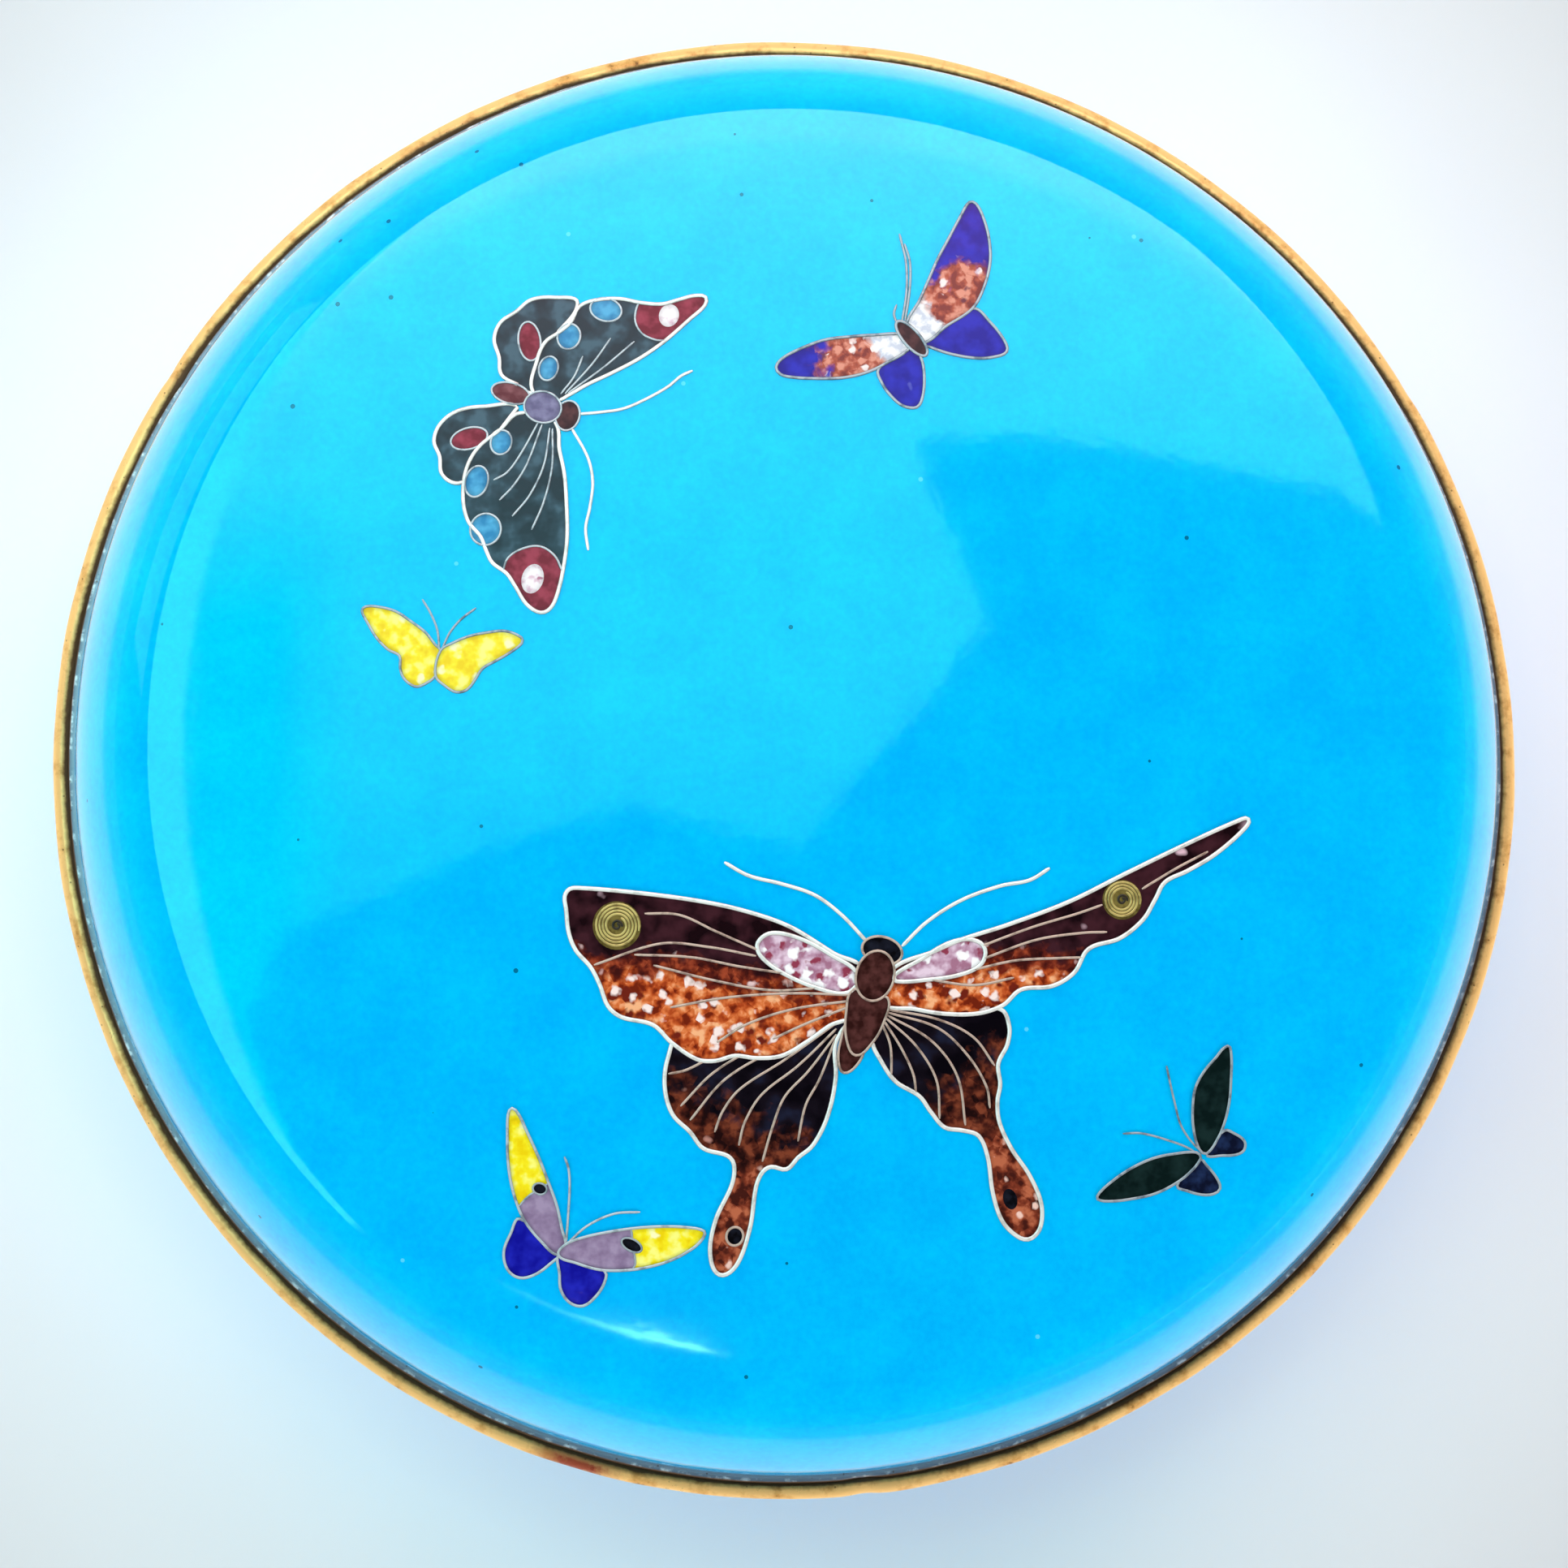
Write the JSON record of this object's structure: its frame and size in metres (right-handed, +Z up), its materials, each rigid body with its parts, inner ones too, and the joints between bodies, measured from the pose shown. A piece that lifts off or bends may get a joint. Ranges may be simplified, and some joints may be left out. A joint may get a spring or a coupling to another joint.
{
  "type": "cloisonne enamel box",
  "caption": "Round lidded box with turquoise enamel on copper, butterflies inlaid flush in its domed lift-off lid, gilt bands round both mouths and a low foot ring.",
  "frame": {"origin": "centre of the foot ring's underside, on the surface that the box stands on", "axes": "+Z up along the box's axis; +Y towards the side of the lid that the large butterfly's head points to, +X to the right seen from above"},
  "size_m": [0.1098, 0.1098, 0.0455],
  "materials": {
    "turquoise_enamel": "glossy fused turquoise enamel on copper, with fine pits",
    "gilt_brass": "worn gilding with brown patina in the grooves",
    "silver_wire": "fine silver wire polished flush with the enamel",
    "inlay_swallowtail": "dark aubergine and copper-flecked enamels between silver wires, polished flush",
    "inlay_slate": "slate green enamel with crimson tips and blue scallops between silver wires, polished flush",
    "inlay_blue": "ultramarine, copper-flecked and white enamels between fine wires, polished flush",
    "inlay_yellow": "mottled yellow enamel between fine wires, polished flush",
    "inlay_lilac": "yellow, lilac and ultramarine enamels between fine wires, polished flush",
    "inlay_green": "blackish green and navy enamels between fine wires, polished flush"
  },
  "bodies": {
    "root": {"lid": "turquoise_enamel", "lid_rim": "gilt_brass", "base": "turquoise_enamel", "base_rim": "gilt_brass", "foot_ring": "gilt_brass", "butterfly_swallowtail": "inlay_swallowtail", "butterfly_slate": "inlay_slate", "butterfly_blue": "inlay_blue", "butterfly_yellow": "inlay_yellow", "butterfly_lilac": "inlay_lilac", "butterfly_green": "inlay_green"}
  },
  "joints": []
}
